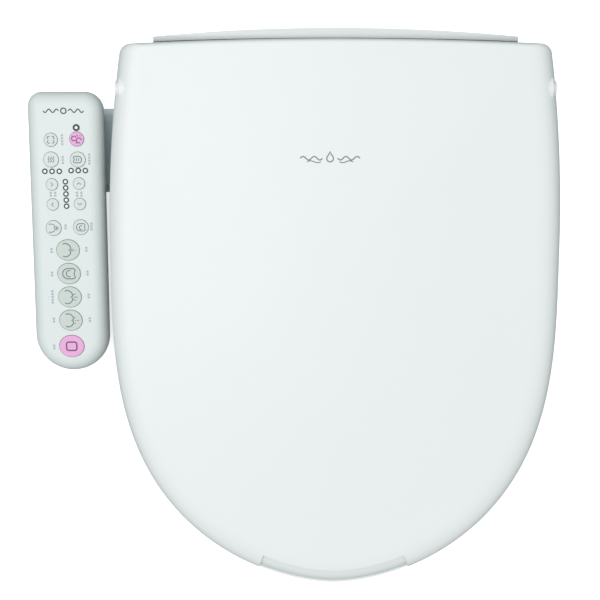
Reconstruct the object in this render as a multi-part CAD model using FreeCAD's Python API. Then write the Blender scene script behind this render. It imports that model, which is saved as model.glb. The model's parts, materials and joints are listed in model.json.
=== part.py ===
"""Electric bidet seat: body, seat ring, lid and side control panel, one solid or group per piece.

Frame, in millimetres: z = 0 is the plane of the bowl's rim, which the pads, bumpers and mounting
plate rest on. The origin is midway between the two mounting bolts. +Y points to the rear, -Y to
the front of the seat, and the control panel is on the -X side.
"""
import FreeCAD, Part
import math
import os

os.makedirs("parts", exist_ok=True)
V = FreeCAD.Vector

# ---- driving dimensions ---------------------------------------------------------------------
WALL = 3.0                   # body mouldings
LID_WALL = 2.8

HINGE_Y, HINGE_Z = 4.0, 125.2

LID_HALF = 202.5             # widest half-width of the lid
LID_WIDEST_Y = -150.0
LID_NOSE = 296.5             # from the widest line to the front tip
NOSE_POWER_X, NOSE_POWER_Y = 1.13, 0.66  # bend the nose away from an ellipse
LID_REAR_Y = 47.2
LID_REAR_CROWN = 4.4         # drop of the rear edge at the corners
LID_SIDE_BOW = 4.4e-4        # how fast the sides draw in towards the rear
LID_CORNER = 9.0
LID_CENTRE_Y = -199.0        # rings of the lid shrink towards this point
LID_HALF_LENGTH = 247.5
EDGE_Z, EDGE_SLOPE = 46.0, 0.1309        # lower edge of the lid at its tip, and rise per mm
CROWN_Z, CROWN_SLOPE = 61.5, 0.1752      # top plateau of the lid at its tip, and rise per mm
REAR_TIGHT_Y = (0.0, 25.0)   # between these the rim's rounding turns into a tight rear edge
REAR_TIGHT = 0.7
LID_TIP_Y = LID_WIDEST_Y - LID_NOSE

BODY_HALF = 177.0
CORE_HALF = 160.0
BODY_FRONT = -80.0
BODY_REAR = 57.5
BODY_REAR_DROP = 7.5         # drop of the rear edge where the core ends
BASE_Z, SPLIT_Z = 5.0, 58.0
LIP_Z = 127.0
LIP_ROUND, LIP_ROUND_Y = 12.0, 54.0      # rounding of the lip towards the lid, and where it starts
BARREL_R = 11.3              # cover of the hinge dampers
BARREL_WEB_STEP = 1.0        # the web between barrel and body starts this far above its bottom
TROUGH_R, TROUGH_R_END = 45.0, 42.0      # room for the lid's rear edge as it swings

SEAT_INSET = 6.0
SEAT_REAR_Y = -84.0
SEAT_BOTTOM_Z, SEAT_SPLIT_Z = 14.0, 20.0
SEAT_TOP_Z, SEAT_SLOPE = 41.2, 0.129     # seat top at the lid's tip, and rise per mm
HOLE_Y, HOLE_HALF_W, HOLE_HALF_L = -262.0, 104.0, 122.0
ARCH_HALF, ARCH_FRONT_Y, ARCH_Z = 120.0, -150.0, 36.0
ARM_IN, ARM_OUT = 162.0, 173.0           # seat arms, distance from the middle
EAR_R = 10.0
LID_EAR_IN, LID_EAR_OUT = 174.5, 186.0

SHAFT_R = 5.0
FIT = 0.05                   # radial running clearance

PANEL_X = -241.8             # middle of the control panel
PANEL_HALF = 34.1
PANEL_LENGTH = 255.2         # along the sloping face
PANEL_REAR = 4.4
PANEL_SLOPE = 0.17
PANEL_FACE_Z = 111.75        # face height at the panel's rear end
PANEL_DEPTH = 13.0           # depth of the upper shell below the face
PANEL_FLOOR_Z = 20.0
PANEL_WALL = 2.4
PANEL_EDGE_R = 12.5          # soft shoulder round the face
CASE_LEDGE = 0.4             # the case stands this far inside the cover at their seam
CASE_FOOT = (23.5, 0.0, -228.0)          # half-width, rear and front of the case's flat bottom
BUTTON_GAP = 0.35
BUTTON_RISE = 1.1
BUTTON_TRAVEL = 0.8
BOARD_DEPTH = 14.6
SWITCH_HEIGHT = 5.0

BOLT_SPACING = 140.0
BOLT_HOLE_R = 5.5

NOZZLE_TILT = math.radians(30.0)
NOZZLE_R = 7.0
NOZZLE_LENGTH = 92.0
NOZZLE_TIP_Y, NOZZLE_TIP_Z = -52.0, 13.5
NOZZLE_X = 11.0
PINION_AT, PINION_UP, PINION_R = 30.0, 15.4, 6.0

FAN_X, FAN_Y = 87.0, -15.0
DUCT_X0, DUCT_X1 = 62.0, 108.0
FLAP_Y, FLAP_Z = -79.0, 32.0


# ---- helpers --------------------------------------------------------------------------------
def save(name, shape):
    """Write one named piece."""
    shape.exportStep("parts/" + name + ".step")


def box(x0, x1, y0, y1, z0, z1):
    return Part.makeBox(x1 - x0, y1 - y0, z1 - z0, V(x0, y0, z0))


def cylinder(radius, start, end):
    axis = end - start
    return Part.makeCylinder(radius, axis.Length, start, axis)


def across(radius, x0, x1, y, z):
    """A cylinder along X."""
    return cylinder(radius, V(x0, y, z), V(x1, y, z))


def upright(radius, x, y, z0, z1):
    return cylinder(radius, V(x, y, z0), V(x, y, z1))


def union(shapes):
    joined = shapes[0]
    for shape in shapes[1:]:
        joined = joined.fuse(shape)
    return joined


def prism_x(points, x0, x1):
    """A polygon given as (y, z), drawn out along X."""
    corners = [V(x0, y, z) for y, z in points]
    return Part.Face(Part.makePolygon(corners + corners[:1])).extrude(V(x1 - x0, 0, 0))


def mirrored(shape):
    return shape.mirror(V(0, 0, 0), V(1, 0, 0))


# ---- D-shaped outline shared by lid and seat ------------------------------------------------
def side_half(y):
    """Half-width of the D behind its widest line."""
    return LID_HALF - LID_SIDE_BOW * (y + 130.0) ** 2


def rear_y(x):
    return LID_REAR_Y - LID_REAR_CROWN * (x / 185.0) ** 2


def half_outline():
    """Right half of the outline in three stretches: nose and side, rear corner, rear edge."""
    flank = []
    for step in range(13):
        angle = math.radians(7.5 * step)
        x = LID_HALF * math.sin(angle) ** NOSE_POWER_X
        y = LID_WIDEST_Y - LID_NOSE * math.cos(angle) ** NOSE_POWER_Y
        flank.append((x, y))
    corner_x = side_half(35.0) - LID_CORNER
    corner_y = rear_y(corner_x) - LID_CORNER
    for y in (-115.0, -75.0, -35.0, 0.0):
        flank.append((side_half(y), y))
    flank.append((side_half(corner_y), corner_y))
    corner = [flank[-1]]
    for step in range(1, 5):
        angle = math.radians(18.0 * step)
        x = corner_x + LID_CORNER * math.cos(angle)
        y = corner_y + LID_CORNER * math.sin(angle)
        corner.append((x, y))
    corner.append((corner_x, rear_y(corner_x)))
    rear = [corner[-1]]
    for share in (0.75, 0.5, 0.25, 0.0):
        rear.append((corner_x * share, rear_y(corner_x * share)))
    return flank, corner, rear


def ring(inset, height):
    """Closed D-shaped wire, drawn in by inset; height(y) gives its z."""
    grow_x = (LID_HALF - inset) / LID_HALF
    grow_y = (LID_HALF_LENGTH - inset) / LID_HALF_LENGTH
    edges = []
    for side in (1.0, -1.0):
        for stretch in half_outline():
            points = []
            for x, y in stretch:
                new_y = LID_CENTRE_Y + (y - LID_CENTRE_Y) * grow_y
                points.append(V(side * x * grow_x, new_y, height(new_y)))
            if side < 0.0:
                points.reverse()
            curve = Part.BSplineCurve()
            curve.interpolate(points)
            edges.append(curve.toShape())
    return Part.Wire(edges[:3] + edges[:2:-1])


def d_prism(inset, z0, z1):
    face = Part.Face(ring(inset, lambda y: z0))
    return face.extrude(V(0, 0, z1 - z0))


def lid_edge_z(y):
    return EDGE_Z + EDGE_SLOPE * (y - LID_TIP_Y)


def lid_crown_z(y):
    return CROWN_Z + CROWN_SLOPE * (y - LID_TIP_Y)


# ---- lid ------------------------------------------------------------------------------------
# Each ring of the lid: inset from the edge, share of the rim's height, and extra doming.
LID_RINGS = (
    (0.0, 0.0, 0.0),
    (0.5, 0.30, 0.0),
    (2.2, 0.58, 0.0),
    (6.0, 0.79, 0.0),
    (13.0, 0.915, 0.0),
    (24.0, 0.98, 0.0),
    (45.0, 1.0, 0.0),
    (90.0, 1.0, 2.0),
    (150.0, 1.0, 3.2),
    (190.0, 1.0, 3.6),
)


def rim_power(y):
    """1 along the sides, and lower towards the rear edge, where the rim rises more steeply."""
    start, end = REAR_TIGHT_Y
    share = min(1.0, max(0.0, (y - start) / (end - start)))
    return 1.0 - REAR_TIGHT * share


def lid_block(wall):
    """The lid as a solid; a wall above zero gives the hollow inside it."""
    wires = []
    for inset, share, dome in LID_RINGS:
        drop = wall * share
        if wall and share == 0.0:
            drop = 6.0

        def height(y, share=share, dome=dome, drop=drop):
            low = lid_edge_z(y)
            return low + share ** rim_power(y) * (lid_crown_z(y) - low) + dome - drop

        wires.append(ring(inset + wall, height))
    return Part.makeLoft(wires, True, True)


BUMPER_SPOTS = ((118.0, -345.0), (160.0, -150.0))
BUMPER_R, BUMPER_HEIGHT = 5.0, 4.0


def seat_top_z(y):
    return SEAT_TOP_Z + SEAT_SLOPE * (y - LID_TIP_Y)


def bumper_foot(y):
    """Height of a lid bumper's foot, just clear of the sloping seat."""
    return seat_top_z(y + BUMPER_R) + 0.35


def make_lid():
    outer = lid_block(0.0)
    hollow = lid_block(LID_WALL)
    nose = d_prism(0.0, 30.0, 90.0).cut(d_prism(9.0, 30.0, 90.0))
    nose = nose.common(box(-76.0, 76.0, LID_TIP_Y - 1.0, -380.0, 30.0, 90.0))
    shell = outer.cut(hollow.cut(nose))
    # room behind the hinge line, between the side walls
    shell = shell.cut(box(-176.0, 176.0, HINGE_Y + 14.0, 70.0, 60.0, HINGE_Z + 2.0))
    # finger-lift recess round the middle of the front rim
    lift = outer.cut(outer.translated(V(0, 2.4, -2.0)))
    lift = lift.cut(d_prism(14.0, 30.0, 90.0))
    lift = lift.common(box(-70.0, 70.0, LID_TIP_Y - 1.0, -380.0, EDGE_Z + 3.0, 90.0))
    shell = shell.cut(lift)
    ear = across(EAR_R, LID_EAR_IN, LID_EAR_OUT + 6.0, HINGE_Y, HINGE_Z).common(outer)
    bore = across(SHAFT_R + FIT, LID_EAR_IN - 1.0, LID_EAR_OUT, HINGE_Y, HINGE_Z)
    parts = [shell, ear, mirrored(ear)]
    for x, y in BUMPER_SPOTS:
        post = upright(BUMPER_R, x, y, bumper_foot(y) + BUMPER_HEIGHT, lid_crown_z(y) + 4.0)
        post = post.common(outer)
        parts += [post, mirrored(post)]
    lid = union(parts)
    return lid.cut(bore).cut(mirrored(bore))


def make_lid_bumpers():
    feet = []
    for x, y in BUMPER_SPOTS:
        foot = bumper_foot(y)
        pad = upright(BUMPER_R, x, y, foot, foot + BUMPER_HEIGHT)
        pad = pad.makeFillet(0.8, [edge for edge in pad.Edges if edge.BoundBox.ZMax < foot + 0.1])
        feet += [pad, mirrored(pad)]
    return Part.makeCompound(feet)


# ---- seat -----------------------------------------------------------------------------------
def seat_block(wall):
    """The seat ring as a solid; a wall above zero gives the hollow inside it."""
    low = SEAT_BOTTOM_Z + wall
    body = d_prism(SEAT_INSET + wall, low, 130.0)
    body = body.common(box(-LID_HALF, LID_HALF, -500.0, SEAT_REAR_Y - wall, low, 130.0))
    ends = ((-500.0, seat_top_z(-500.0) - wall), (0.0, seat_top_z(0.0) - wall))
    above = prism_x([ends[0], ends[1], (0.0, 200.0), (-500.0, 200.0)], -LID_HALF, LID_HALF)
    hole = Part.Ellipse(V(0, 0, 0), HOLE_HALF_L + wall, HOLE_HALF_W + wall).toShape()
    hole = Part.Face(Part.Wire(hole)).extrude(V(0, 0, 150.0))
    hole.rotate(V(0, 0, 0), V(0, 0, 1), 90.0)
    hole.translate(V(0, HOLE_Y, 0))
    arch = box(-ARCH_HALF - wall, ARCH_HALF + wall, ARCH_FRONT_Y - wall, -60.0, 0.0, ARCH_Z + wall)
    return body.cut(above).cut(hole).cut(arch)


def make_seat_top():
    shell = seat_block(0.0).cut(seat_block(WALL))
    shell = shell.common(box(-LID_HALF, LID_HALF, -500.0, 0.0, SEAT_SPLIT_Z, 200.0))
    arm = prism_x([(-100.0, 62.0), (-80.0, 62.0), (HINGE_Y + 5.0, HINGE_Z - 9.0),
                   (HINGE_Y, HINGE_Z), (HINGE_Y - 3.0, HINGE_Z + 9.4), (-100.0, 83.0)],
                  ARM_IN, ARM_OUT)
    ear = across(EAR_R, ARM_IN, ARM_OUT, HINGE_Y, HINGE_Z)
    bore = across(SHAFT_R + FIT, ARM_IN - 1.0, ARM_OUT + 1.0, HINGE_Y, HINGE_Z)
    top = union([shell, arm, ear, mirrored(arm), mirrored(ear)])
    return top.cut(bore).cut(mirrored(bore))


def make_seat_base():
    slab = seat_block(0.0).common(box(-LID_HALF, LID_HALF, -500.0, 0.0, 0.0, SEAT_SPLIT_Z))
    return slab.cut(seat_block(WALL))


def make_seat_heater():
    """Thin heating foil just under the seating surface."""
    layer = seat_block(WALL + 0.4)
    foil = layer.cut(layer.translated(V(0, 0, -1.2)))
    return foil.common(box(-LID_HALF, LID_HALF, -500.0, -104.0, 0.0, 200.0))


SEAT_BUMPER_SPOTS = ((150.0, -175.0), (105.0, -378.0))


def make_seat_bumpers():
    pads = []
    for x, y in SEAT_BUMPER_SPOTS:
        pad = upright(8.0, x, y, 0.0, SEAT_BOTTOM_Z)
        pad = pad.makeFillet(1.5, [edge for edge in pad.Edges if edge.BoundBox.ZMax < 0.1])
        pads += [pad, mirrored(pad)]
    return Part.makeCompound(pads)


def make_seat_sensor():
    return upright(10.0, 150.0, -215.0, SEAT_BOTTOM_Z + WALL, SEAT_BOTTOM_Z + WALL + 9.0)


# ---- hinge dampers --------------------------------------------------------------------------
DAMPER_R, DAMPER_IN, DAMPER_OUT = 7.6, 95.0, 156.5


def make_damper():
    """Damper can on the +X side; the lid's one is its mirror image."""
    can = across(DAMPER_R, DAMPER_IN, DAMPER_OUT, HINGE_Y, HINGE_Z)
    key = box(DAMPER_IN + 4.0, DAMPER_IN + 16.0, HINGE_Y - 2.0, HINGE_Y + 2.0,
              HINGE_Z - DAMPER_R - 0.3, HINGE_Z - DAMPER_R + 1.0)
    bore = across(SHAFT_R + FIT, DAMPER_IN + 14.0, DAMPER_OUT + 1.0, HINGE_Y, HINGE_Z)
    return can.fuse(key).cut(bore)


def make_damper_shaft():
    return across(SHAFT_R, DAMPER_IN + 15.0, LID_EAR_OUT - 1.0, HINGE_Y, HINGE_Z)


# ---- body -----------------------------------------------------------------------------------
def rear_edge_y(x):
    return BODY_REAR - BODY_REAR_DROP * (x / CORE_HALF) ** 2


def plan(half, wall, z0, z1):
    """Body outline seen from above, with its gently crowned rear edge."""
    side = half - wall
    front = BODY_FRONT + wall
    corner = rear_edge_y(side) - wall
    rear = Part.Arc(V(side, corner, z0), V(0, BODY_REAR - wall, z0), V(-side, corner, z0))
    left = Part.makePolygon([V(-side, corner, z0), V(-side, front, z0), V(side, front, z0),
                             V(side, corner, z0)])
    wire = Part.Wire([rear.toShape()] + left.Edges)
    return Part.Face(wire).extrude(V(0, 0, z1 - z0))


def trough(wall):
    """Swept room of the lid's crowned rear edge: a barrel-shaped solid about the hinge line."""
    reach = CORE_HALF + 5.0
    middle, end = TROUGH_R + wall, TROUGH_R_END + wall
    arc = Part.Arc(V(-reach, HINGE_Y + end, HINGE_Z), V(0, HINGE_Y + middle, HINGE_Z),
                   V(reach, HINGE_Y + end, HINGE_Z))
    base = Part.makePolygon([V(reach, HINGE_Y + end, HINGE_Z), V(reach, HINGE_Y, HINGE_Z),
                             V(-reach, HINGE_Y, HINGE_Z), V(-reach, HINGE_Y + end, HINGE_Z)])
    face = Part.Face(Part.Wire([arc.toShape()] + base.Edges))
    room = face.revolve(V(0, HINGE_Y, HINGE_Z), V(1, 0, 0), 360.0)
    room = room.common(box(-reach, reach, HINGE_Y - 12.0 - wall, 90.0, 0.0, 200.0))
    # the barrel stays joined to the body in front of it
    web_low = HINGE_Z - BARREL_R + BARREL_WEB_STEP + wall
    web = box(-reach, reach, HINGE_Y - 13.0 - wall, HINGE_Y - 2.0, web_low, 200.0)
    return room.cut(across(BARREL_R - wall, -reach, reach, HINGE_Y, HINGE_Z)).cut(web)


def core(wall):
    """Upper part of the body as a solid; a wall above zero gives the hollow inside it."""
    low = SPLIT_Z if wall == 0.0 else SPLIT_Z - 1.0
    profile = [(BODY_FRONT + wall, low), (BODY_FRONT + 6.0 + wall, 100.0 - wall / 2.0),
               (BODY_FRONT + 22.0 + wall / 2.0, HINGE_Z - 2.0 - wall),
               (HINGE_Y - 2.0, HINGE_Z + BARREL_R - wall), (HINGE_Y, HINGE_Z + BARREL_R - wall),
               (HINGE_Y, LIP_Z - wall), (80.0, LIP_Z - wall), (80.0, low)]
    side = CORE_HALF - wall
    block = prism_x(profile, -side, side).common(plan(CORE_HALF, wall, low, 200.0))
    round_z = LIP_Z - LIP_ROUND
    corner = box(-CORE_HALF, CORE_HALF, LIP_ROUND_Y - LIP_ROUND, LIP_ROUND_Y, round_z, 200.0)
    corner = corner.cut(across(LIP_ROUND - wall, -CORE_HALF, CORE_HALF, LIP_ROUND_Y, round_z))
    barrel = across(BARREL_R - wall, -side, side, HINGE_Y, HINGE_Z)
    return block.cut(corner).fuse(barrel).cut(trough(wall))


SCREW_SPOTS = ((150.0, BODY_FRONT + 7.0), (150.0, 43.0))


def make_upper_cover():
    shell = core(0.0).cut(core(WALL))
    bosses = []
    for x, y in SCREW_SPOTS:
        boss = upright(5.0, x, y, SPLIT_Z, SPLIT_Z + 14.0)
        bosses += [boss, mirrored(boss)]
    cover = union([shell] + bosses)
    for x, y in SCREW_SPOTS:
        hole = upright(1.7, x, y, SPLIT_Z - 1.0, SPLIT_Z + 11.0)
        cover = cover.cut(hole).cut(mirrored(hole))
    shaft_room = across(SHAFT_R + 1.2, CORE_HALF - WALL - 1.0, CORE_HALF + 1.0, HINGE_Y, HINGE_Z)
    return cover.cut(shaft_room).cut(mirrored(shaft_room))


CHANNEL_HALF = 40.4
INLET_Y, INLET_Z = 25.0, 30.0
FILTER_BOX = (120.0, BODY_HALF + 1.5, -58.0, -26.0, 18.0, 42.0)
RELEASE_HALF_Y, RELEASE_Z0, RELEASE_Z1 = 6.0, 16.0, 26.0


def make_lower_case():
    tray = plan(BODY_HALF, 0.0, BASE_Z, SPLIT_Z).cut(plan(BODY_HALF, WALL, BASE_Z + WALL, SPLIT_Z + 1.0))
    roof = box(-CHANNEL_HALF - WALL, CHANNEL_HALF + WALL, -25.0, 53.0, BASE_Z, BASE_Z + 8.0)
    deck = plan(BODY_HALF, 0.0, SPLIT_Z - WALL, SPLIT_Z)
    deck = deck.cut(box(-CORE_HALF + WALL, CORE_HALF - WALL, BODY_FRONT + WALL, 80.0, 0.0, 100.0))
    posts = []
    for x, y in SCREW_SPOTS:
        post = upright(6.0, x, y, BASE_Z, SPLIT_Z)
        posts += [post, mirrored(post)]
    case = union([tray, roof, deck] + posts).common(plan(BODY_HALF, 0.0, BASE_Z, SPLIT_Z))
    for x, y in SCREW_SPOTS:
        well = upright(3.6, x, y, 0.0, SPLIT_Z - 10.0).fuse(upright(1.9, x, y, 0.0, SPLIT_Z + 1.0))
        case = case.cut(well).cut(mirrored(well))
    openings = [
        box(-CHANNEL_HALF, CHANNEL_HALF, -22.0, 80.0, 0.0, BASE_Z + 5.0),
        box(-26.0, 26.0, BODY_FRONT - 1.0, -45.0, 0.0, 12.0),
        box(DUCT_X0 - 1.0, DUCT_X1 + 1.0, BODY_FRONT - 1.0, BODY_FRONT + WALL + 0.5, 9.0, 34.0),
        across(1.0 + FIT, DUCT_X0 - 3.0, DUCT_X1 + 3.0, FLAP_Y, FLAP_Z),
        box(FILTER_BOX[0] - 5.0, 190.0, FILTER_BOX[2] - 0.6, FILTER_BOX[3] + 0.6,
            FILTER_BOX[4] - 0.6, FILTER_BOX[5] + 0.6),
        box(BODY_HALF - 5.0, 190.0, -RELEASE_HALF_Y - 0.5, RELEASE_HALF_Y + 0.5,
            RELEASE_Z0 - 0.5, RELEASE_Z1 + 0.5),
        across(8.0, BODY_HALF - 5.0, 190.0, INLET_Y, INLET_Z),
        across(6.2, -190.0, -BODY_HALF + 5.0, INLET_Y, INLET_Z),
        box(-190.0, -BODY_HALF + 5.0, -66.0, -16.0, 18.0, 48.0),
    ]
    for opening in openings:
        case = case.cut(opening)
    return case


def make_panel_arm():
    """Hollow bridge that carries the control panel and its wiring."""
    inside_case = PANEL_X + PANEL_HALF - 18.0
    bridge = box(inside_case, -BODY_HALF, -77.0, -1.0, PANEL_FLOOR_Z, SPLIT_Z)
    along = [edge for edge in bridge.Edges if edge.BoundBox.XLength > 5.0]
    bridge = bridge.makeFillet(7.0, along)
    bridge = bridge.cut(case_block(0.0))
    return bridge.cut(box(inside_case - 1.0, -BODY_HALF + 1.0, -68.0, -14.0, 26.0, 50.0))


def make_mounting_plate():
    plate = box(-105.0, 105.0, -20.0, 20.0, 0.0, BASE_Z - 0.5)
    upright_edges = [edge for edge in plate.Edges if edge.BoundBox.ZLength > 3.0]
    plate = plate.makeFillet(8.0, upright_edges)
    keel = box(-CHANNEL_HALF + 0.4, CHANNEL_HALF - 0.4, -20.0, 20.0, BASE_Z - 1.0, BASE_Z + 4.5)
    plate = plate.fuse(keel).removeSplitter()
    for side in (-0.5, 0.5):
        plate = plate.cut(upright(BOLT_HOLE_R, side * BOLT_SPACING, 0.0, -1.0, 20.0))
    return plate


def make_release_button():
    cap = box(172.0, BODY_HALF + 3.0, -RELEASE_HALF_Y, RELEASE_HALF_Y, RELEASE_Z0, RELEASE_Z1)
    flange = box(168.0, 172.0, -9.0, 9.0, RELEASE_Z0 - 3.0, RELEASE_Z1 + 3.0)
    rod = box(150.0, 168.0, -3.0, 3.0, RELEASE_Z0 + 2.0, RELEASE_Z1 - 2.0)
    return union([cap, flange, rod])


def make_base_pads():
    pads = []
    for x, y in ((135.0, -62.0), (135.0, 30.0)):
        pad = upright(9.0, x, y, 0.0, BASE_Z)
        pads += [pad, mirrored(pad)]
    return Part.makeCompound(pads)


def make_case_screws():
    screws = []
    for x, y in SCREW_SPOTS:
        head = upright(3.2, x, y, SPLIT_Z - 12.5, SPLIT_Z - 10.0)
        screw = head.fuse(upright(1.6, x, y, SPLIT_Z - 10.0, SPLIT_Z + 9.0))
        screws += [screw, mirrored(screw)]
    return Part.makeCompound(screws)


# ---- wash unit ------------------------------------------------------------------------------
def nozzle_place(shape, x):
    """Move a shape drawn along +Z from the tip into the tilted axis of a nozzle."""
    shape = shape.copy()
    shape.rotate(V(0, 0, 0), V(1, 0, 0), -(90.0 - math.degrees(NOZZLE_TILT)))
    shape.translate(V(x, NOZZLE_TIP_Y, NOZZLE_TIP_Z))
    return shape


def make_nozzle(x, spray_holes):
    """Drawn along its own axis, which runs from the tip up to the rear; -Y there is its top."""
    rod = upright(NOZZLE_R, 0.0, 0.0, 0.0, NOZZLE_LENGTH)
    rod = rod.makeFillet(3.0, [edge for edge in rod.Edges if edge.BoundBox.ZMax < 0.1])
    rack = box(-2.0, 2.0, -9.0, 0.0, 16.0, NOZZLE_LENGTH)
    body = rod.fuse(rack)
    for row in range(spray_holes):
        start = V(0.0, -NOZZLE_R - 1.0, 5.0 + 3.0 * row)
        body = body.cut(cylinder(0.6, start, start + V(0, 4.0, 0)))
    return nozzle_place(body, x)


def make_nozzle_housing():
    block = box(-24.0, 24.0, -10.0, 10.0, 8.0, 84.0)
    for x in (-NOZZLE_X, NOZZLE_X):
        block = block.cut(upright(NOZZLE_R + 0.35, x, 0.0, 0.0, 100.0))
        block = block.cut(box(x - 2.5, x + 2.5, -20.0, 0.0, 0.0, 100.0))
    return nozzle_place(block, 0.0)


def pinion_centre():
    """Position (y, z) of both pinion shafts."""
    back = V(0, math.cos(NOZZLE_TILT), math.sin(NOZZLE_TILT))
    up = V(0, -math.sin(NOZZLE_TILT), math.cos(NOZZLE_TILT))
    centre = V(0, NOZZLE_TIP_Y, NOZZLE_TIP_Z) + back * PINION_AT + up * PINION_UP
    return centre.y, centre.z


MOTOR_IN, MOTOR_OUT = 28.0, 44.0


def make_pinion(side):
    y, z = pinion_centre()
    x = side * NOZZLE_X
    wheel = across(PINION_R - 1.4, x - 2.0, x + 2.0, y, z)
    teeth = []
    for tooth in range(10):
        block = box(x - 2.0, x + 2.0, y - 0.8, y + 0.8, z + PINION_R - 2.4, z + PINION_R - 0.1)
        block.rotate(V(x, y, z), V(1, 0, 0), 36.0 * tooth)
        teeth.append(block)
    shaft_ends = sorted((side * (NOZZLE_X - 3.0), side * (MOTOR_OUT - 4.0)))
    shaft = across(1.5, shaft_ends[0], shaft_ends[1], y, z)
    return union([wheel, shaft] + teeth)


def make_motor(side):
    y, z = pinion_centre()
    ends = sorted((side * MOTOR_IN, side * MOTOR_OUT))
    can = across(12.0, ends[0], ends[1], y, z)
    bore_ends = sorted((side * (MOTOR_IN - 1.0), side * (MOTOR_OUT - 3.0)))
    return can.cut(across(1.5 + FIT, bore_ends[0], bore_ends[1], y, z))


# ---- water, air and electrics ---------------------------------------------------------------
TANK = (-140.0, -60.0, -50.0, 20.0, 14.0, 50.0)


def make_heater_tank():
    tank = box(*TANK)
    return tank.makeFillet(8.0, tank.Edges)


def make_inlet_fitting():
    spigot = across(7.8, BODY_HALF - WALL, BODY_HALF, INLET_Y, INLET_Z)
    thread = across(10.4, BODY_HALF, BODY_HALF + 15.0, INLET_Y, INLET_Z)
    return spigot.fuse(thread).cut(across(5.5, 150.0, 200.0, INLET_Y, INLET_Z))


def make_inlet_valve():
    body = box(120.0, BODY_HALF - WALL, 13.0, 35.0, 18.0, 42.0)
    coil = across(8.0, 126.0, 150.0, 24.0, 48.0)
    return body.fuse(coil)


def make_flow_valve():
    body = box(70.0, 100.0, 12.0, 36.0, 14.0, 36.0)
    return body.fuse(upright(9.0, 85.0, 24.0, 36.0, 52.0))


def make_water_tubes():
    runs = ((100.0, 120.0, 25.0, 28.0), (-60.0, 70.0, 16.0, 24.0), (-60.0, -24.0, 2.0, 42.0))
    tubes = []
    for x0, x1, y, z in runs:
        tubes.append(across(3.0, x0, x1, y, z).cut(across(1.8, x0 - 1.0, x1 + 1.0, y, z)))
    return Part.makeCompound(tubes)


def make_fan_housing():
    shell = box(FAN_X - 23.0, FAN_X + 23.0, -38.0, FAN_Y + 23.0, 16.0, 44.0)
    shell = shell.cut(upright(19.5, FAN_X, FAN_Y, 18.0, 42.0))
    shell = shell.cut(box(FAN_X - 17.0, FAN_X + 17.0, -40.0, FAN_Y, 18.0, 30.0))
    shell = shell.cut(upright(10.0, FAN_X, FAN_Y, 15.0, 19.0))
    return shell.cut(upright(3.0, FAN_X, FAN_Y, 41.0, 45.0))


def make_fan_impeller():
    hub = upright(5.0, FAN_X, FAN_Y, 20.0, 39.0)
    disc = upright(17.0, FAN_X, FAN_Y, 37.5, 39.0)
    shaft = upright(2.0, FAN_X, FAN_Y, 39.0, 52.0)
    blades = []
    for blade in range(12):
        vane = box(FAN_X + 9.0, FAN_X + 17.0, FAN_Y - 0.7, FAN_Y + 0.7, 21.0, 37.5)
        vane.rotate(V(FAN_X + 13.0, FAN_Y, 0), V(0, 0, 1), 35.0)
        vane.rotate(V(FAN_X, FAN_Y, 0), V(0, 0, 1), 30.0 * blade)
        blades.append(vane)
    return union([hub, disc, shaft] + blades)


def make_fan_motor():
    can = upright(12.0, FAN_X, FAN_Y, 44.0, 57.0)
    return can.cut(upright(2.0 + FIT, FAN_X, FAN_Y, 43.0, 53.0))


def make_dryer_duct():
    duct = box(DUCT_X0, DUCT_X1, BODY_FRONT + WALL, -38.0, 10.0, 34.0)
    return duct.cut(box(DUCT_X0 + 2.0, DUCT_X1 - 2.0, -90.0, -30.0, 12.0, 32.0))


def make_dryer_heater():
    bars = []
    for fin in range(5):
        bars.append(box(DUCT_X0 + 2.0, DUCT_X1 - 2.0, -64.0 + 4.0 * fin, -62.5 + 4.0 * fin, 18.0, 26.0))
    return Part.makeCompound(bars)


def make_dryer_flap():
    plate = box(DUCT_X0 - 0.4, DUCT_X1 + 0.4, FLAP_Y - 1.0, FLAP_Y + 1.0, 10.0, FLAP_Z)
    barrel = across(1.5, DUCT_X0 - 0.4, DUCT_X1 + 0.4, FLAP_Y, FLAP_Z)
    pin = across(1.0, DUCT_X0 - 2.6, DUCT_X1 + 2.6, FLAP_Y, FLAP_Z)
    return union([plate, barrel, pin])


def make_filter_cartridge():
    x0, x1, y0, y1, z0, z1 = FILTER_BOX
    drawer = box(*FILTER_BOX)
    for slot in range(5):
        middle = z0 + 4.0 + 4.0 * slot
        drawer = drawer.cut(box(x0 + 6.0, x1 - 12.0, y0 - 1.0, y1 + 1.0, middle - 0.8, middle + 0.8))
    grip = box(x1 - 1.0, x1 + 3.0, (y0 + y1) / 2.0 - 8.0, (y0 + y1) / 2.0 + 8.0, z0 + 8.0, z0 + 12.0)
    return drawer.fuse(grip)


def make_main_board():
    board = box(-141.0, -50.0, 40.0, 41.6, 14.0, 54.0)
    parts = [board]
    for x, width, height in ((-138.0, 18.0, 22.0), (-112.0, 12.0, 14.0), (-88.0, 24.0, 9.0)):
        parts.append(box(x, x + width, 32.0, 40.0, 20.0, 20.0 + height))
    return union(parts)


def make_cord_gland():
    collar = across(9.0, -BODY_HALF - 4.0, -BODY_HALF, INLET_Y, INLET_Z)
    sleeve = Part.makeCone(5.0, 7.5, 9.0, V(-BODY_HALF - 13.0, INLET_Y, INLET_Z), V(1, 0, 0))
    tail = across(6.0, -BODY_HALF, -BODY_HALF + 8.0, INLET_Y, INLET_Z)
    return union([collar, sleeve, tail]).cut(across(3.6, -200.0, -150.0, INLET_Y, INLET_Z))


# ---- control panel --------------------------------------------------------------------------
PANEL_TILT = math.degrees(math.atan(PANEL_SLOPE))
REAR_LEFT_R, REAR_RIGHT_R = 13.0, 17.0


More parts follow.
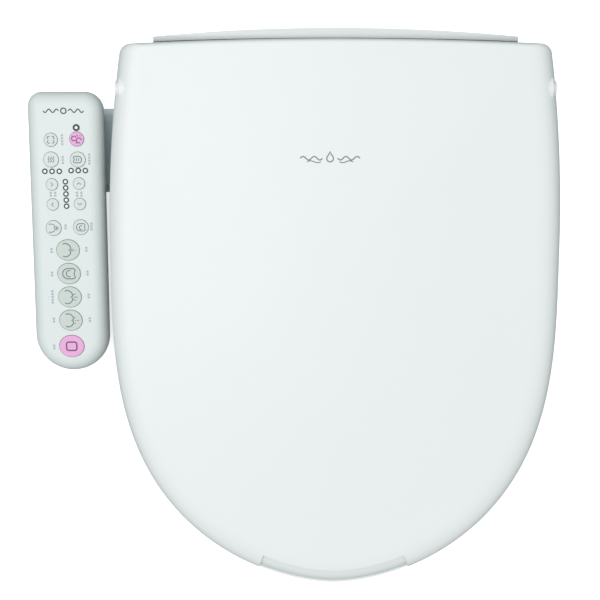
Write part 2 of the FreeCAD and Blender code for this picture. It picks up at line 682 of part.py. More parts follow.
def on_panel(shape):
    """Place a shape drawn on the panel's face: x across, y towards the rear, z out of the face."""
    shape = shape.copy()
    shape.rotate(V(0, 0, 0), V(1, 0, 0), PANEL_TILT)
    shape.translate(V(PANEL_X, PANEL_REAR, PANEL_FACE_Z))
    return shape


def panel_wire(side, rear, front, inset, z):
    """Outline of the panel drawn in by inset: rounded rear corners and a full round at the front."""
    side -= inset
    rear -= inset
    front += inset
    r_left, r_right = REAR_LEFT_R - inset, REAR_RIGHT_R - inset
    bend = 1.0 - math.sqrt(0.5)
    nose_y = front + side
    start, tip, end = V(-side, nose_y, z), V(0, front, z), V(side, nose_y, z)
    right_a, right_b = V(side, rear - r_right, z), V(side - r_right, rear, z)
    right_mid = V(side - r_right * bend, rear - r_right * bend, z)
    left_a, left_b = V(-side + r_left, rear, z), V(-side, rear - r_left, z)
    left_mid = V(-side + r_left * bend, rear - r_left * bend, z)
    edges = [Part.Arc(start, tip, end), Part.LineSegment(end, right_a),
             Part.Arc(right_a, right_mid, right_b), Part.LineSegment(right_b, left_a),
             Part.Arc(left_a, left_mid, left_b), Part.LineSegment(left_b, start)]
    return Part.Wire([edge.toShape() for edge in edges])


def cover_block(wall, low):
    """Upper half of the panel down to z = low, in its own frame; a wall gives the hollow inside it."""
    wire = panel_wire(PANEL_HALF, 0.0, -PANEL_LENGTH, wall, low)
    block = Part.Face(wire).extrude(V(0, 0, -wall - low))
    face_edges = [edge for edge in block.Edges if edge.BoundBox.ZMin > -wall - 0.01]
    return block.makeFillet(PANEL_EDGE_R - wall, face_edges)


def case_block(wall):
    """Tapering lower half of the panel, placed; a wall above zero gives the hollow inside it."""
    top = on_panel(panel_wire(PANEL_HALF, 0.0, -PANEL_LENGTH, CASE_LEDGE + wall, -PANEL_DEPTH))
    foot = panel_wire(*CASE_FOOT, wall, PANEL_FLOOR_Z + wall)
    foot.translate(V(PANEL_X, 0, 0))
    return Part.makeLoft([top, foot], True, True)


# Every button: name, place across the face, distance from the rear end, width and length.
BUTTONS = (
    ("power_saving_button", 11.2, 41.8, 12.6, 12.6),
    ("light_button", -12.0, 42.4, 11.8, 11.8),
    ("seat_heat_button", -12.4, 60.0, 13.5, 13.5),
    ("water_heat_button", 11.6, 60.0, 13.5, 13.5),
    ("pressure_up_button", -12.4, 82.2, 10.4, 10.4),
    ("nozzle_forward_button", 12.0, 81.4, 10.4, 10.4),
    ("pressure_down_button", -12.2, 100.2, 10.4, 10.4),
    ("nozzle_back_button", 12.2, 99.8, 10.4, 10.4),
    ("massage_button", -12.2, 121.6, 13.5, 13.5),
    ("move_button", 12.4, 120.8, 13.5, 13.5),
    ("front_wash_button", 0.1, 141.6, 20.8, 18.8),
    ("rear_wash_button", 0.3, 163.2, 20.8, 18.8),
    ("soft_wash_button", 0.5, 184.8, 20.8, 18.8),
    ("dry_button", 0.6, 206.4, 20.8, 18.8),
    ("stop_button", 0.7, 230.6, 22.6, 20.2),
)
LAMPS = [(11.0, 31.7)]
LAMPS += [(-18.4 + 6.5 * lamp, 70.5) for lamp in range(3)]
LAMPS += [(5.2 + 6.4 * lamp, 69.8) for lamp in range(3)]
LAMPS += [(-0.3 + 0.1 * lamp, 79.8 + 5.5 * lamp) for lamp in range(5)]
LAMP_R = 2.1


def key_shape(u, v, width, length, z0, z1):
    """Upright round or oval key, on the face at (u, v)."""
    if width == length:
        return upright(width / 2.0, u, -v, z0, z1)
    oval = Part.Ellipse(V(u, -v, z0), width / 2.0, length / 2.0).toShape()
    return Part.Face(Part.Wire(oval)).extrude(V(0, 0, z1 - z0))


def make_button(u, v, width, length):
    bottom = -PANEL_WALL - BUTTON_GAP - 1.2
    cap = key_shape(u, v, width, length, bottom, BUTTON_RISE)
    rim = [edge for edge in cap.Edges if edge.BoundBox.ZMin > BUTTON_RISE - 0.01]
    cap = cap.makeFillet(0.6, rim)
    flange = key_shape(u, v, width + 1.6, length + 1.6, bottom, bottom + 1.2)
    stem_foot = -BOARD_DEPTH + 1.6 + SWITCH_HEIGHT + BUTTON_TRAVEL + 0.1
    stem = upright(1.5, u, -v, stem_foot, bottom)
    return on_panel(union([cap, flange, stem]))


def make_panel_cover():
    cover = cover_block(0.0, -PANEL_DEPTH).cut(cover_block(PANEL_WALL, -PANEL_DEPTH - 5.0))
    for name, u, v, width, length in BUTTONS:
        gap = 2.0 * BUTTON_GAP
        cover = cover.cut(key_shape(u, v, width + gap, length + gap, -8.0, 3.0))
    for u, v in LAMPS:
        cover = cover.cut(upright(LAMP_R + 0.1, u, -v, -8.0, 3.0))
    return on_panel(cover)


def make_panel_case():
    outer = case_block(0.0)
    case = outer.cut(case_block(PANEL_WALL))
    for v in (25.0, 128.0, 222.0):
        column = on_panel(upright(3.0, 0.0, -v, -98.0, -BOARD_DEPTH))
        case = case.fuse(column.common(box(-400.0, 0.0, -400.0, 100.0, PANEL_FLOOR_Z, 200.0)))
    side = PANEL_X + PANEL_HALF
    return case.cut(box(side - 16.0, side, -66.0, -16.0, 28.0, 48.0))


def make_panel_board():
    board = box(-26.0, 26.0, -243.0, -14.0, -BOARD_DEPTH, -BOARD_DEPTH + 1.6)
    corners = [edge for edge in board.Edges if edge.BoundBox.ZLength > 1.0 and edge.BoundBox.YMax < -100.0]
    return on_panel(board.makeFillet(22.0, corners))


def make_panel_switches():
    low = -BOARD_DEPTH + 1.6
    switches = []
    for name, u, v, width, length in BUTTONS:
        base = box(u - 3.0, u + 3.0, -v - 3.0, -v + 3.0, low, low + SWITCH_HEIGHT - 1.2)
        switches.append(base.fuse(upright(1.6, u, -v, low, low + SWITCH_HEIGHT)))
    return on_panel(Part.makeCompound(switches))


def make_panel_lamps():
    lamps = [upright(LAMP_R, u, -v, -6.0, 0.25) for u, v in LAMPS]
    return on_panel(Part.makeCompound(lamps))


# ---- write every piece ----------------------------------------------------------------------
save("lid", make_lid())
save("lid_bumpers", make_lid_bumpers())
save("seat_top", make_seat_top())
save("seat_base", make_seat_base())
save("seat_heater", make_seat_heater())
save("seat_bumpers", make_seat_bumpers())
save("seat_sensor", make_seat_sensor())
save("seat_damper", make_damper())
save("lid_damper", mirrored(make_damper()))
save("seat_damper_shaft", make_damper_shaft())
save("lid_damper_shaft", mirrored(make_damper_shaft()))
save("upper_cover", make_upper_cover())
save("lower_case", make_lower_case())
save("panel_arm", make_panel_arm())
save("mounting_plate", make_mounting_plate())
save("release_button", make_release_button())
save("base_pads", make_base_pads())
save("case_screws", make_case_screws())
save("nozzle_housing", make_nozzle_housing())
save("wash_nozzle", make_nozzle(-NOZZLE_X, 3))
save("bidet_nozzle", make_nozzle(NOZZLE_X, 5))
save("wash_pinion", make_pinion(-1))
save("bidet_pinion", make_pinion(1))
save("wash_nozzle_motor", make_motor(-1))
save("bidet_nozzle_motor", make_motor(1))
save("heater_tank", make_heater_tank())
save("inlet_fitting", make_inlet_fitting())
save("inlet_valve", make_inlet_valve())
save("flow_valve", make_flow_valve())
save("water_tubes", make_water_tubes())
save("fan_housing", make_fan_housing())
save("fan_impeller", make_fan_impeller())
save("fan_motor", make_fan_motor())
save("dryer_duct", make_dryer_duct())
save("dryer_heater", make_dryer_heater())
save("dryer_flap", make_dryer_flap())
save("filter_cartridge", make_filter_cartridge())
save("main_board", make_main_board())
save("cord_gland", make_cord_gland())
save("panel_cover", make_panel_cover())
save("panel_case", make_panel_case())
save("panel_board", make_panel_board())
save("panel_switches", make_panel_switches())
save("panel_lamps", make_panel_lamps())
for name, u, v, width, length in BUTTONS:
    save(name, make_button(u, v, width, length))
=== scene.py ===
"""Looks of the electric bidet seat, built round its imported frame.

The lid, and the seat ring with its hinge arms, are remade as smooth mouldings in the room that
their CAD nodes fill. Every other CAD node keeps its shape and gets a material. The prints on the
lid, panel and keys are thin raised marks. Everything is in metres, in the CAD frame, except where
a comment says millimetres.
"""
import json
import math

import bmesh
import bpy
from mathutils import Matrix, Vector
from mathutils.bvhtree import BVHTree


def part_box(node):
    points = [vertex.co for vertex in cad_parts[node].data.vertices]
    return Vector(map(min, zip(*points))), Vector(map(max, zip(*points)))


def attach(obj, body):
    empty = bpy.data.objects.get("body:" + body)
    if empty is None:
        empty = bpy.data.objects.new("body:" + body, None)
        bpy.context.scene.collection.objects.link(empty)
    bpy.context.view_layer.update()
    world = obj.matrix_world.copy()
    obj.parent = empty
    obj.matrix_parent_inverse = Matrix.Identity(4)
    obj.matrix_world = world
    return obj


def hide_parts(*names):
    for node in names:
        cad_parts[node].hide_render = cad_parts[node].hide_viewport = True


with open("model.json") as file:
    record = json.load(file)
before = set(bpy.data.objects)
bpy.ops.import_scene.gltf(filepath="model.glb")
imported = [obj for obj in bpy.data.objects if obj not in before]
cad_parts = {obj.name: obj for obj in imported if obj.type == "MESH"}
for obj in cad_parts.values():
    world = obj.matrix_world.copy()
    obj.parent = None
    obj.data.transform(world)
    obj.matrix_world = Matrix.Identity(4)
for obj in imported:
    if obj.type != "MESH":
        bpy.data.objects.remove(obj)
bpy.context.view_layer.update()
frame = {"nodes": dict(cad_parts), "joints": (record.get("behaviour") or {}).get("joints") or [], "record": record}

# ---- sizes shared by lid and seat -------------------------------------------------------------
LID_LOW, LID_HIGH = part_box("lid")
SEAT_LOW, SEAT_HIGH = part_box("seat_top")
HINGE = Vector(next(j for j in frame["joints"] if j["name"] == "lid_hinge")["pos_m"])

HALF = LID_HIGH.x                       # half-width of the lid
TIP_Y = LID_LOW.y
WIDEST_Y = -0.150
NOSE = WIDEST_Y - TIP_Y
NOSE_POWER_X, NOSE_POWER_Y = 1.13, 0.66
SIDE_BOW, SIDE_BOW_Y = 0.44, -0.130    # how fast the sides draw in towards the rear
REAR_Y, REAR_CROWN, REAR_CROWN_X = 0.0472, 0.0044, 0.185
CORNER_R = 0.009
CORNER_Y = 0.035
CENTRE_Y, HALF_LENGTH = -0.199, 0.2475  # rings shrink towards this line
EDGE_Z, EDGE_SLOPE = 0.046, 0.1309      # lower edge of the lid at its tip, and its rise
CROWN_Z, CROWN_SLOPE = 0.0615, 0.1752   # top of the lid at its tip, and its rise
RIM_WIDTH, RIM_POWER = 0.027, 2.8
REAR_RIM_WIDTH = 0.008
DOME = 0.0036
DOME_START, DOME_END = 0.03, 0.19       # insets between which the dome rises
LID_WALL = 0.0028
CUT_MARGIN = 0.001                      # how far a bore's tool starts outside the piece
CREASE_ANGLE = 40.0


# ---- mesh helpers -----------------------------------------------------------------------------
def new_object(name, verts, faces):
    """A smooth-shaded mesh object made of lists of points and faces."""
    mesh = bpy.data.meshes.new(name)
    mesh.from_pydata([tuple(v) for v in verts], [], faces)
    mesh.validate()
    mesh.update()
    piece = bpy.data.objects.new(name, mesh)
    bpy.context.scene.collection.objects.link(piece)
    face_outwards(piece)
    return piece


def face_outwards(piece):
    """Turn every face outwards and shade it smooth."""
    bm = bmesh.new()
    bm.from_mesh(piece.data)
    bmesh.ops.recalc_face_normals(bm, faces=bm.faces)
    bm.to_mesh(piece.data)
    bm.free()
    for polygon in piece.data.polygons:
        polygon.use_smooth = True


def bake_modifiers(piece):
    """Replace the piece's mesh with the result of its modifiers."""
    graph = bpy.context.evaluated_depsgraph_get()
    result = bpy.data.meshes.new_from_object(piece.evaluated_get(graph))
    piece.modifiers.clear()
    piece.data = result


def combine(piece, tool, operation):
    """Cut a tool out of a piece, or join it on, and drop the tool."""
    modifier = piece.modifiers.new(operation.lower(), "BOOLEAN")
    modifier.operation = operation
    modifier.solver = "EXACT"
    modifier.object = tool
    bpy.context.view_layer.update()
    bake_modifiers(piece)
    bpy.data.objects.remove(tool)


def merge(pieces):
    """Gather several objects into the first one."""
    bm = bmesh.new()
    for piece in pieces:
        bm.from_mesh(piece.data)
    bm.to_mesh(pieces[0].data)
    bm.free()
    for piece in pieces[1:]:
        bpy.data.objects.remove(piece)
    return pieces[0]


def mark_creases(piece, angle):
    """Smooth shading, except across edges sharper than this many degrees."""
    bm = bmesh.new()
    bm.from_mesh(piece.data)
    for face in bm.faces:
        face.smooth = True
    for edge in bm.edges:
        edge.smooth = len(edge.link_faces) == 2 and edge.calc_face_angle(0.0) < math.radians(angle)
    bm.to_mesh(piece.data)
    bm.free()


def finish_piece(piece, slot, body):
    """Material, shading and body of a piece that takes its finish from a record slot."""
    piece.data.materials.clear()
    piece.data.materials.append(MATERIALS[slot])
    mark_creases(piece, CREASE_ANGLE)
    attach(piece, body)


def rings_to_faces(ring_count, size, first=0):
    """Quads between successive closed rings of the same size."""
    faces = []
    for ring in range(ring_count - 1):
        low = first + ring * size
        for i in range(size):
            j = (i + 1) % size
            faces.append((low + i, low + j, low + size + j, low + size + i))
    return faces


def block(name, low, high):
    """A closed box between two opposite corners."""
    x0, y0, z0 = low
    x1, y1, z1 = high
    foot = [(x0, y0), (x1, y0), (x1, y1), (x0, y1)]
    verts = [(x, y, z0) for x, y in foot] + [(x, y, z1) for x, y in foot]
    faces = rings_to_faces(2, 4) + [(3, 2, 1, 0), (4, 5, 6, 7)]
    return new_object(name, verts, faces)


def rod(name, radius, start, end, sides=48):
    """A closed cylinder from start to end."""
    turn = (end - start).to_track_quat("Z", "Y").to_matrix()
    verts = []
    for centre in (start, end):
        for side in range(sides):
            angle = 2.0 * math.pi * side / sides
            verts.append(centre + turn @ Vector((radius * math.cos(angle), radius * math.sin(angle), 0.0)))
    caps = [tuple(range(sides)), tuple(range(sides, 2 * sides))]
    return new_object(name, verts, rings_to_faces(2, sides) + caps)


def turned_x(name, profile, sides=48):
    """A closed solid of revolution about the hinge line; the profile is (x, radius) pairs."""
    verts = []
    for x, radius in profile:
        for side in range(sides):
            angle = 2.0 * math.pi * side / sides
            verts.append((x, HINGE.y + radius * math.cos(angle), HINGE.z + radius * math.sin(angle)))
    last = len(verts) - sides
    caps = [tuple(range(sides)), tuple(range(last, last + sides))]
    return new_object(name, verts, rings_to_faces(len(profile), sides) + caps)


def smooth_step(low, high, value):
    """0 below low and 1 above high, with an even rise between them."""
    share = min(1.0, max(0.0, (value - low) / (high - low)))
    return share * share * (3.0 - 2.0 * share)


# ---- materials --------------------------------------------------------------------------------
NOISE_LOW, NOISE_HIGH = 0.3, 0.7        # the usual range of a noise texture
TONE_SCALE, TONE_DETAIL = 9.0, 2.0
POLISH_SCALE, POLISH_DETAIL = 45.0, 3.0
GRAIN_DETAIL, GRAIN_DEPTH = 3.0, 0.0002
COAT_ROUGHNESS = 0.12


def node_material(name):
    material = bpy.data.materials.new(name)
    material.use_nodes = True
    nodes = material.node_tree.nodes
    return material, nodes, material.node_tree.links, nodes["Principled BSDF"]


def noise(nodes, links, scale, detail, stretch=(1.0, 1.0, 1.0)):
    """Noise in the object's own metres."""
    place = nodes.new("ShaderNodeTexCoord")
    mapping = nodes.new("ShaderNodeMapping")
    mapping.inputs["Scale"].default_value = stretch
    texture = nodes.new("ShaderNodeTexNoise")
    texture.inputs["Scale"].default_value = scale
    texture.inputs["Detail"].default_value = detail
    links.new(place.outputs["Object"], mapping.inputs["Vector"])
    links.new(mapping.outputs["Vector"], texture.inputs["Vector"])
    return texture.outputs["Fac"]


def spread(nodes, links, source, low, high):
    """The source remapped from its usual range to low..high."""
    remap = nodes.new("ShaderNodeMapRange")
    remap.inputs["From Min"].default_value = NOISE_LOW
    remap.inputs["From Max"].default_value = NOISE_HIGH
    remap.inputs["To Min"].default_value = low
    remap.inputs["To Max"].default_value = high
    links.new(source, remap.inputs["Value"])
    return remap.outputs["Result"]


def two_tones(nodes, links, source, dark, light):
    """A colour that runs from dark to light with the source."""
    ramp = nodes.new("ShaderNodeValToRGB")
    ramp.color_ramp.elements[0].position = NOISE_LOW
    ramp.color_ramp.elements[0].color = (*dark, 1.0)
    ramp.color_ramp.elements[1].position = NOISE_HIGH
    ramp.color_ramp.elements[1].color = (*light, 1.0)
    links.new(source, ramp.inputs["Fac"])
    return ramp.outputs["Color"]


def surface(name, colour, roughness, grain=0.04, grain_scale=2600.0, tone=0.02, metallic=0.0,
            coat=0.0, stretch=(1.0, 1.0, 1.0)):
    """A moulded or machined surface: soft tone changes, uneven gloss and a fine grain."""
    material, nodes, links, shader = node_material(name)
    dark = [part * (1.0 - tone) for part in colour]
    tones = noise(nodes, links, TONE_SCALE, TONE_DETAIL)
    links.new(two_tones(nodes, links, tones, dark, colour), shader.inputs["Base Color"])
    polish = noise(nodes, links, POLISH_SCALE, POLISH_DETAIL, stretch)
    links.new(spread(nodes, links, polish, roughness * 0.96, roughness * 1.06), shader.inputs["Roughness"])
    bump = nodes.new("ShaderNodeBump")
    bump.inputs["Strength"].default_value = grain
    bump.inputs["Distance"].default_value = GRAIN_DEPTH
    links.new(noise(nodes, links, grain_scale, GRAIN_DETAIL, stretch), bump.inputs["Height"])
    links.new(bump.outputs["Normal"], shader.inputs["Normal"])
    shader.inputs["Metallic"].default_value = metallic
    shader.inputs["Coat Weight"].default_value = coat
    shader.inputs["Coat Roughness"].default_value = COAT_ROUGHNESS
    return material


def board_material(name):
    """Green lacquer with paler copper tracks under it."""
    material, nodes, links, shader = node_material(name)
    place = nodes.new("ShaderNodeTexCoord")
    tracks = nodes.new("ShaderNodeTexBrick")
    tracks.inputs["Scale"].default_value = 160.0
    tracks.inputs["Mortar Size"].default_value = 0.05
    tracks.inputs["Color1"].default_value = (0.03, 0.16, 0.07, 1.0)
    tracks.inputs["Color2"].default_value = (0.04, 0.20, 0.09, 1.0)
    tracks.inputs["Mortar"].default_value = (0.10, 0.34, 0.14, 1.0)
    links.new(place.outputs["Object"], tracks.inputs["Vector"])
    links.new(tracks.outputs["Color"], shader.inputs["Base Color"])
    polish = noise(nodes, links, 60.0, 2.0)
    links.new(spread(nodes, links, polish, 0.3, 0.45), shader.inputs["Roughness"])
    return material


WHITE = (0.700, 0.728, 0.722)
MATERIALS = {
    "lid_gloss": surface("lid gloss", WHITE, 0.42, grain=0.03, tone=0.006, coat=0.08),
    "body_gloss": surface("body gloss", (0.66, 0.69, 0.685), 0.34, coat=0.15),
    "seat_gloss": surface("seat gloss", (0.70, 0.72, 0.71), 0.28, tone=0.01, coat=0.3),
    "panel_matte": surface("panel matte", (0.62, 0.67, 0.66), 0.45, grain=0.10, grain_scale=3800.0),
    # The arm's blue-grey is set paler than the white plastics: painted light that lifts the shade of the deep gap
    # between panel and lid.
    "arm_grey": surface("arm grey and painted light", (0.72, 0.82, 0.84), 0.5, grain=0.15),
    "base_grey": surface("base grey", (0.50, 0.54, 0.545), 0.5, grain=0.15),
    "rubber_grey": surface("rubber", (0.16, 0.165, 0.17), 0.8, grain=0.35, grain_scale=1500.0,
                           tone=0.12),
    "button_pale": surface("pale key", (0.58, 0.63, 0.61), 0.5, grain=0.12, grain_scale=3800.0),
    "button_beige": surface("wash key", (0.50, 0.56, 0.525), 0.5, grain=0.12, grain_scale=3800.0),
    "button_pink": surface("pink key", (0.70, 0.35, 0.60), 0.5, grain=0.12, grain_scale=3800.0),
    "lamp_clear": surface("lamp lens", (0.72, 0.76, 0.75), 0.2, coat=0.5),
    "board_green": board_material("circuit board"),
    "black_plastic": surface("black plastic", (0.03, 0.03, 0.032), 0.5, grain=0.2, tone=0.2),
    "steel": surface("steel", (0.55, 0.55, 0.55), 0.3, metallic=1.0, grain=0.12,
                     stretch=(1.0, 12.0, 12.0)),
    "brass": surface("brass", (0.60, 0.42, 0.17), 0.32, metallic=1.0, grain=0.12,
                     stretch=(1.0, 9.0, 9.0)),
    "nozzle_white": surface("nozzle white", (0.74, 0.75, 0.73), 0.25, coat=0.3),
    "unit_plastic": surface("unit plastic", (0.56, 0.58, 0.58), 0.5, grain=0.15),
    "heater_foil": surface("heater foil", (0.66, 0.66, 0.67), 0.3, metallic=1.0, grain=0.3,
                           grain_scale=500.0),
    "tube_clear": surface("tube", (0.52, 0.56, 0.58), 0.35, coat=0.2),
    "filter_grey": surface("filter grey", (0.10, 0.11, 0.115), 0.6, grain=0.25, tone=0.15),
    "heat_metal": surface("heated metal", (0.42, 0.37, 0.32), 0.35, metallic=1.0, tone=0.2, grain=0.15),
}
# Darker blue-grey for the panel's lower case: a two-tone moulding, and also painted shade that darkens the flank
# in the gap beside the lid.
CASE_GREY_AND_SHADE = surface("case grey and painted shade", (0.36, 0.44, 0.455), 0.5, grain=0.15)
LID_INK = surface("lid ink", (0.20, 0.22, 0.225), 0.5, tone=0.1)
CAPTION_INK = surface("caption ink", (0.36, 0.42, 0.43), 0.5, tone=0.1)
KEY_INK = surface("key ink", (0.13, 0.18, 0.19), 0.5, tone=0.1)
DARK_INK = surface("dark ink", (0.035, 0.045, 0.048), 0.5, tone=0.1)
PURPLE_INK = surface("purple ink", (0.16, 0.05, 0.17), 0.5, tone=0.1)


# ---- D outline --------------------------------------------------------------------------------
NOSE_STEPS, SIDE_STEPS, CORNER_STEPS, REAR_STEPS = 60, 26, 12, 20


def quarter_arc(x, y, radius, steps):
    """Points from the right of a circle to its rear."""
    points = []
    for step in range(steps + 1):
        angle = math.radians(90.0 * step / steps)
        points.append((x + radius * math.cos(angle), y + radius * math.sin(angle)))
    return points


def nose_x(angle):
    return HALF * math.sin(angle) ** NOSE_POWER_X


def nose_angle(x):
    """The angle at which the nose is x wide to one side."""
    return math.asin((x / HALF) ** (1.0 / NOSE_POWER_X))


def side_half(y):
    return HALF - SIDE_BOW * (y - SIDE_BOW_Y) ** 2


def rear_y(x):
    return REAR_Y - REAR_CROWN * (x / REAR_CROWN_X) ** 2


def half_outline(extra_angles=()):
    """Right half of the D from the front tip to the middle of the rear edge."""
    points = []
    angles = [math.radians(90.0 * step / NOSE_STEPS) for step in range(NOSE_STEPS + 1)]
    angles += extra_angles
    for angle in sorted(angles):
        points.append((nose_x(angle), WIDEST_Y - NOSE * math.cos(angle) ** NOSE_POWER_Y))
    corner_x = side_half(CORNER_Y) - CORNER_R
    corner_y = rear_y(corner_x) - CORNER_R
    for step in range(1, SIDE_STEPS):
        y = WIDEST_Y + (corner_y - WIDEST_Y) * step / SIDE_STEPS
        points.append((side_half(y), y))
    points += quarter_arc(corner_x, corner_y, CORNER_R, CORNER_STEPS)
    for step in range(1, REAR_STEPS + 1):
        x = corner_x * (1.0 - step / REAR_STEPS)
        points.append((x, rear_y(x)))
    return points


def full_outline(extra_angles=()):
    right = half_outline(extra_angles)
    left = [(-x, y) for x, y in reversed(right[1:-1])]
    return right + left


def drawn_in(point, inset, inset_y=None):
    """An outline point moved in by inset along x, and by inset_y (or the same) along y."""
    if inset_y is None:
        inset_y = inset
    x = point[0] * (HALF - inset) / HALF
    y = CENTRE_Y + (point[1] - CENTRE_Y) * (HALF_LENGTH - inset_y) / HALF_LENGTH
    return x, y


def edge_z(y):
    return EDGE_Z + EDGE_SLOPE * (y - TIP_Y)


def crown_z(y):
    return CROWN_Z + CROWN_SLOPE * (y - TIP_Y)


# ---- lid --------------------------------------------------------------------------------------
RECESS_HALF, RECESS_WIDTH, RECESS_FRONT_Y = 0.070, 0.014, -0.380
RECESS_PUSH = Vector((0.0, 0.0024, -0.0020))
RECESS_STEP = 0.00025
RECESS_FADE = 4.0                       # walls over which the inner surface follows the recess
RECESS_RISE_LOW, RECESS_RISE_HIGH = 0.1, 0.3    # shares of the rim's height where it sets in
LIP_R = 0.0008
RIM_STEPS, LIP_STEPS = 24, 6
CROWN_INSETS = (0.034, 0.045, 0.060, 0.080, 0.100, 0.120, 0.140, 0.160, 0.180, 0.192, 0.199)
REAR_RIM_Y = -0.050                     # from here on the rim has its rear depth
SEAT_TOP_Z, SEAT_SLOPE = 0.0412, 0.129  # seat top at the lid's tip, and its rise
SHAFT_BORE_R = 0.00505
LID_EAR = ((0.1745, 0.012), (0.1885, 0.012), (0.1885, 0.007), (0.1925, 0.007))
BUMPER_SPOTS = ((0.118, -0.345), (0.160, -0.150))
BUMPER_R, BUMPER_TOP = 0.005, 0.00435   # the post starts this far above the seat
ROOM_HALF, ROOM_LOW_Z, ROOM_REAR_Y = 0.176, 0.060, 0.070
ROOM_BEHIND, ROOM_ABOVE = 0.014, 0.002  # distances from the hinge line
LID_BORE_END = 0.186


def dome(inset):
    return DOME * smooth_step(DOME_START, DOME_END, inset)


def rim_depth(y):
    """How far in from front or rear the rim rounds: less along the rear edge than round the nose."""
    return RIM_WIDTH + (REAR_RIM_WIDTH - RIM_WIDTH) * smooth_step(CENTRE_Y, REAR_RIM_Y, y)


def rim_profile():
    """Insets in metres and height shares from the lower edge over the rim to the flat crown."""
    steps = []
    for step in range(1, RIM_STEPS + 1):
        angle = math.radians(90.0 * step / RIM_STEPS)
        inset = RIM_WIDTH * (1.0 - math.cos(angle) ** (2.0 / RIM_POWER))
        steps.append((inset, math.sin(angle) ** (2.0 / RIM_POWER)))
    for inset in (RECESS_WIDTH - RECESS_STEP, RECESS_WIDTH + RECESS_STEP):
        share = (1.0 - (1.0 - inset / RIM_WIDTH) ** RIM_POWER) ** (1.0 / RIM_POWER)
        steps.append((inset, share))
    steps += [(inset, 1.0) for inset in CROWN_INSETS]
    return sorted(steps)


def inset_along(inset, y):
    """The y inset that goes with an x inset: the rim's share of its depth, then even steps."""
    depth = rim_depth(y)
    if inset <= RIM_WIDTH:
        return inset * depth / RIM_WIDTH
    return depth + (inset - RIM_WIDTH) * (HALF - depth) / (HALF - RIM_WIDTH)


def recess_share(x, y, inset, margin):
    """How far a point of the rim takes part in the finger recess."""
    if y > RECESS_FRONT_Y:
        return 0.0
    across = 1.0 - smooth_step(RECESS_HALF - RECESS_STEP, RECESS_HALF + RECESS_STEP + margin, abs(x))
    along = 1.0 - smooth_step(RECESS_WIDTH - RECESS_STEP, RECESS_WIDTH + RECESS_STEP + margin, inset)
    return across * along


def lid_rings(outline, wall):
    """Rings of the lid's outer surface, or of its inner one when a wall is given."""
    rings = []
    for inset, share in rim_profile():
        ring = []
        for point in outline:
            x, y = drawn_in(point, inset + wall, inset_along(inset, point[1]) + wall)
            low = edge_z(y) + LIP_R
            place = Vector((x, y, low + share * (crown_z(y) - wall - low) + dome(inset)))
            push = recess_share(point[0], point[1], inset, RECESS_FADE * wall)
            rise = smooth_step(RECESS_RISE_LOW, RECESS_RISE_HIGH, share)
            ring.append(place + RECESS_PUSH * push * rise)
        rings.append(ring)
    return rings


def lip_rings(outline):
    """Rounded lower edge that joins the two surfaces, from the inside to the outside."""
    rings = []
    for step in range(LIP_STEPS + 1):
        angle = math.pi * step / LIP_STEPS
        inset = LID_WALL / 2.0 * (1.0 + math.cos(angle))
        ring = []
        for point in outline:
            x, y = drawn_in(point, inset)
            ring.append(Vector((x, y, edge_z(y) + LIP_R * (1.0 - math.sin(angle)))))
        rings.append(ring)
    return rings


def lid_fixings():
    """Hinge ears and bumper posts inside the lid, as one tool."""
    tools = []
    for side in (-1.0, 1.0):
        tools.append(turned_x("ear", [(side * x, radius) for x, radius in LID_EAR]))
        for x, y in BUMPER_SPOTS:
            foot = SEAT_TOP_Z + SEAT_SLOPE * (y + BUMPER_R - TIP_Y) + BUMPER_TOP
            top = crown_z(y) - LID_WALL / 2.0
            start, end = Vector((side * x, y, foot)), Vector((side * x, y, top))
            tools.append(rod("post", BUMPER_R, start, end))
    return merge(tools)


def lid_cuts():
    """The room for the body's cover behind the hinge line, and the two hinge bores, as one tool."""
    room_low = (-ROOM_HALF, HINGE.y + ROOM_BEHIND, ROOM_LOW_Z)
    room_high = (ROOM_HALF, ROOM_REAR_Y, HINGE.z + ROOM_ABOVE)
    tools = [block("room", room_low, room_high)]
    for side in (-1.0, 1.0):
        start = Vector((side * (LID_EAR[0][0] - CUT_MARGIN), HINGE.y, HINGE.z))
        end = Vector((side * LID_BORE_END, HINGE.y, HINGE.z))
        tools.append(rod("bore", SHAFT_BORE_R, start, end))
    return merge(tools)


def make_lid():
    """The lid as rings from its inner crown over its lower edge to its outer crown."""
    edge_angles = [nose_angle(RECESS_HALF - RECESS_STEP), nose_angle(RECESS_HALF + RECESS_STEP)]
    outline = full_outline(edge_angles)
    rings = lid_rings(outline, LID_WALL)[::-1] + lip_rings(outline) + lid_rings(outline, 0.0)
    verts = [point for ring in rings for point in ring]
    size = len(outline)
    caps = [tuple(range(size)), tuple(range(len(verts) - size, len(verts)))]
    lid = new_object("lid_shell", verts, rings_to_faces(len(rings), size) + caps)
    combine(lid, lid_fixings(), "UNION")
    combine(lid, lid_cuts(), "DIFFERENCE")
    finish_piece(lid, "lid_gloss", "lid")
    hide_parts("lid")
    return lid


# ---- seat ring --------------------------------------------------------------------------------
SEAT_INSET = HALF - SEAT_HIGH.x
SEAT_REAR_Y, SEAT_CORNER_R = -0.084, 0.010
SEAT_EDGE_R, HOLE_EDGE_R = 0.007, 0.014
HOLE_Y, HOLE_HALF_W, HOLE_HALF_L = -0.262, 0.104, 0.122
ARM_IN, ARM_OUT, EAR_R = 0.162, 0.173, 0.010
ARM_LOW = ((-0.100, 0.062), (-0.080, 0.062))
ARM_TOP = (-0.100, 0.083)
ARM_EDGE, ARM_EDGE_STEPS = 0.0012, 3
ARM_BEVEL_ANGLE = 60.0
EAR_START, EAR_STEP, EAR_STEPS = -55.0, 10.0, 18    # degrees round the hinge line
SEAT_CORNER_STEPS, SEAT_REAR_STEPS = 8, 16
SEAT_EDGE_STEPS, HOLE_EDGE_STEPS = 6, 9
FLAT_SHARES = (0.15, 0.35, 0.5, 0.65, 0.85)
ARCH_LOW, ARCH_HIGH = (-0.120, -0.150, 0.0), (0.120, -0.060, 0.036)
SEAT_BORE_DEPTH = 0.013


